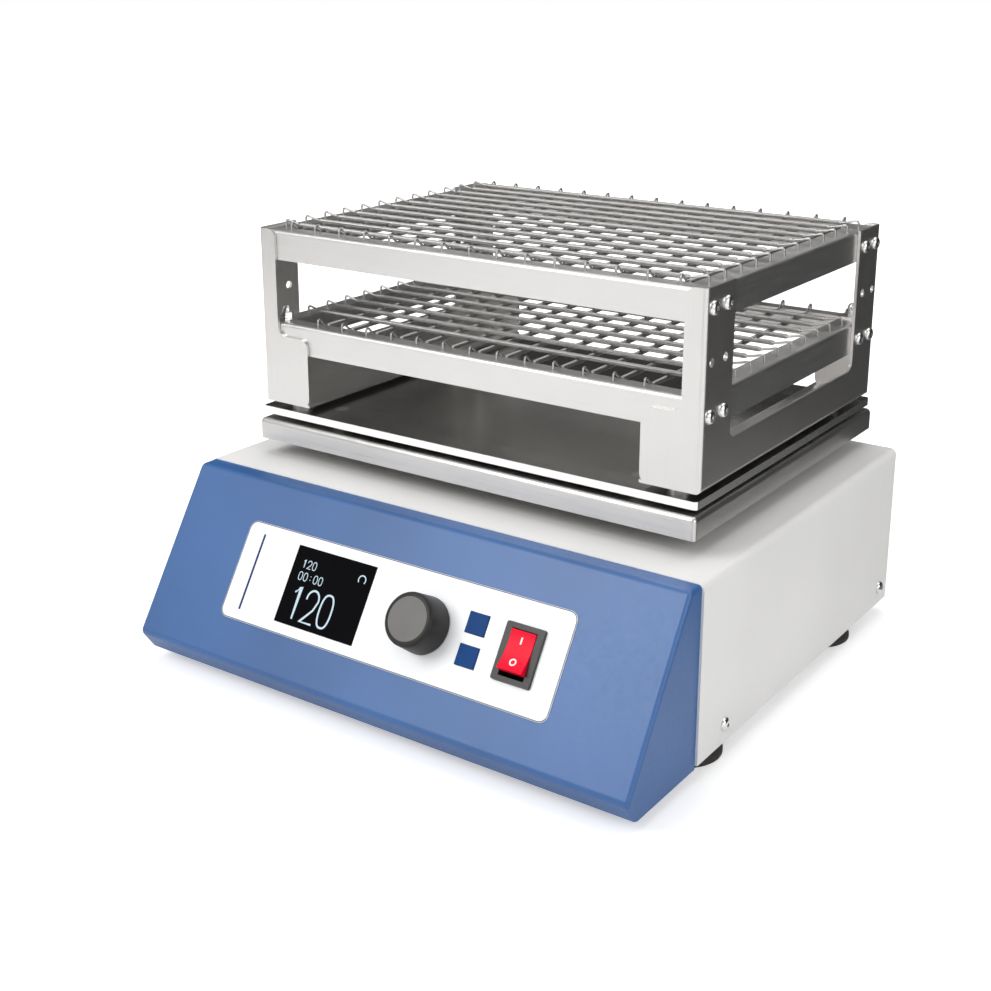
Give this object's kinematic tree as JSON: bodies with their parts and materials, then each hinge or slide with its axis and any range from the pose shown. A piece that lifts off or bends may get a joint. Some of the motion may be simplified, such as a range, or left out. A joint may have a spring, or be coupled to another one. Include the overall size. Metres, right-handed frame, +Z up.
{
  "type": "orbital shaker",
  "caption": "Bench orbital shaker: a sloped-front housing whose crank drive carries a platform with a two-tier flask rack of spring strands.",
  "frame": {"origin": "on the table, under the middle of the whole instrument's box", "axes": "+X to the operator's right, +Y to the back, +Z up"},
  "size_m": [0.3874, 0.3723, 0.2881],
  "materials": {
    "bearing_steel": "ground",
    "belt_rubber": "matt",
    "bright_screw": "polished stainless",
    "cast_metal": "machined",
    "circuit_board": "solder mask",
    "counter_iron": "cast",
    "cover_paint": "powder coat, fine texture",
    "display_glass": "glossy black window",
    "foot_rubber": "matt",
    "frame_steel": "brushed stainless sheet",
    "galvanised": "galvanised sheet",
    "inlet_plastic": "moulded",
    "key_plastic": "satin",
    "knob_plastic": "fine matt",
    "machined_steel": "turned",
    "motor_case": "black enamel",
    "overlay_film": "satin film",
    "panel_paint": "smooth powder coat, slight orange peel",
    "plate_metal": "brushed plate",
    "rack_steel": "brushed stainless sheet",
    "rocker_red": "translucent red, glossy",
    "spring_steel": "drawn spring wire",
    "switch_black": "moulded",
    "tray_steel": "brushed stainless",
    "zinc_screw": "zinc plated"
  },
  "bodies": {
    "base": {"housing_shell": "cover_paint", "base_plate": "galvanised", "rubber_feet": "foot_rubber", "foot_fixings": "zinc_screw", "housing_screws": "bright_screw", "front_panel": "panel_paint", "control_overlay": "overlay_film", "display_window": "display_glass", "display_module": "circuit_board", "control_board": "circuit_board", "board_spacers": "zinc_screw", "encoder_body": "machined_steel", "power_switch": "switch_black", "power_supply": "galvanised", "motor_driver": "circuit_board", "inlet_socket": "inlet_plastic", "inlet_fixings": "zinc_screw", "bridge_pillars": "machined_steel", "bearing_bridge": "cast_metal", "main_bearing_housing": "cast_metal", "main_bearings": "bearing_steel", "drive_belt": "belt_rubber", "motor_bracket": "galvanised", "motor": "motor_case", "idler_housings": "cast_metal", "idler_bearings": "bearing_steel"},
    "main_crank": {"crank_shaft": "machined_steel", "counterweight": "counter_iron", "crank_pulley": "cast_metal"},
    "motor_rotor": {"motor_shaft": "machined_steel", "motor_pulley": "cast_metal"},
    "idler_front_left": {"idler_crank_front_left": "machined_steel"},
    "idler_rear_left": {"idler_crank_rear_left": "machined_steel"},
    "idler_front_right": {"idler_crank_front_right": "machined_steel"},
    "idler_rear_right": {"idler_crank_rear_right": "machined_steel"},
    "platform": {"carrier_hub": "cast_metal", "carrier_bearing": "bearing_steel", "idler_bushes": "cast_metal", "drive_tray": "tray_steel", "platform_plate": "plate_metal", "platform_spacers": "zinc_screw", "platform_screws": "bright_screw", "rack_bolts": "zinc_screw", "side_plate_right": "rack_steel", "side_plate_left": "rack_steel", "upper_frame": "frame_steel", "lower_frame": "frame_steel", "upper_cross_strands": "spring_steel", "upper_along_strands": "spring_steel", "lower_cross_strands": "spring_steel", "lower_along_strands": "spring_steel", "rack_screws": "bright_screw", "rack_nuts": "bright_screw", "corner_tabs": "rack_steel", "cap_nuts": "bright_screw"},
    "control_knob": {"knob": "knob_plastic", "encoder_shaft": "machined_steel"},
    "upper_key": {"key_upper": "key_plastic"},
    "lower_key": {"key_lower": "key_plastic"},
    "rocker": {"power_rocker": "rocker_red"}
  },
  "joints": [
    {"name": "crank_spin", "type": "hinge", "parent": "base", "child": "main_crank", "pos_m": [0, 0.045, 0.1], "axis": [0, 0, 1], "continuous": true},
    {"name": "platform_orbit", "type": "hinge", "parent": "main_crank", "child": "platform", "pos_m": [0, 0.05, 0.142], "axis": [0, 0, 1], "continuous": true},
    {"name": "motor_spin", "type": "hinge", "parent": "base", "child": "motor_rotor", "pos_m": [0, -0.045, 0.06], "axis": [0, 0, 1], "continuous": true},
    {"name": "idler_spin_front_left", "type": "hinge", "parent": "base", "child": "idler_front_left", "pos_m": [-0.13, -0.043, 0.1], "axis": [0, 0, 1], "continuous": true},
    {"name": "idler_spin_rear_left", "type": "hinge", "parent": "base", "child": "idler_rear_left", "pos_m": [-0.13, 0.133, 0.1], "axis": [0, 0, 1], "continuous": true},
    {"name": "idler_spin_front_right", "type": "hinge", "parent": "base", "child": "idler_front_right", "pos_m": [0.13, -0.043, 0.1], "axis": [0, 0, 1], "continuous": true},
    {"name": "idler_spin_rear_right", "type": "hinge", "parent": "base", "child": "idler_rear_right", "pos_m": [0.13, 0.133, 0.1], "axis": [0, 0, 1], "continuous": true},
    {"name": "knob_turn", "type": "hinge", "parent": "base", "child": "control_knob", "pos_m": [0.0292, -0.15425, 0.074], "axis": [0, -0.843, 0.5379], "continuous": true},
    {"name": "upper_key_press", "type": "slide", "parent": "base", "child": "upper_key", "axis": [0, 0.843, -0.5379], "range_m": [0, 0.0005], "stiffness_N_per_m": 2000},
    {"name": "lower_key_press", "type": "slide", "parent": "base", "child": "lower_key", "axis": [0, 0.843, -0.5379], "range_m": [0, 0.0005], "stiffness_N_per_m": 2000},
    {"name": "rocker_tilt", "type": "hinge", "parent": "base", "child": "rocker", "pos_m": [0.0977, -0.15054, 0.07163], "axis": [1, 0, 0], "range_deg": [0, 18]}
  ],
  "couplings": [
    {"joint": "platform_orbit", "follows": "crank_spin", "ratio": -1},
    {"joint": "motor_spin", "follows": "crank_spin", "ratio": 3},
    {"joint": "idler_spin_front_left", "follows": "crank_spin", "ratio": 1},
    {"joint": "idler_spin_rear_left", "follows": "crank_spin", "ratio": 1},
    {"joint": "idler_spin_front_right", "follows": "crank_spin", "ratio": 1},
    {"joint": "idler_spin_rear_right", "follows": "crank_spin", "ratio": 1}
  ]
}
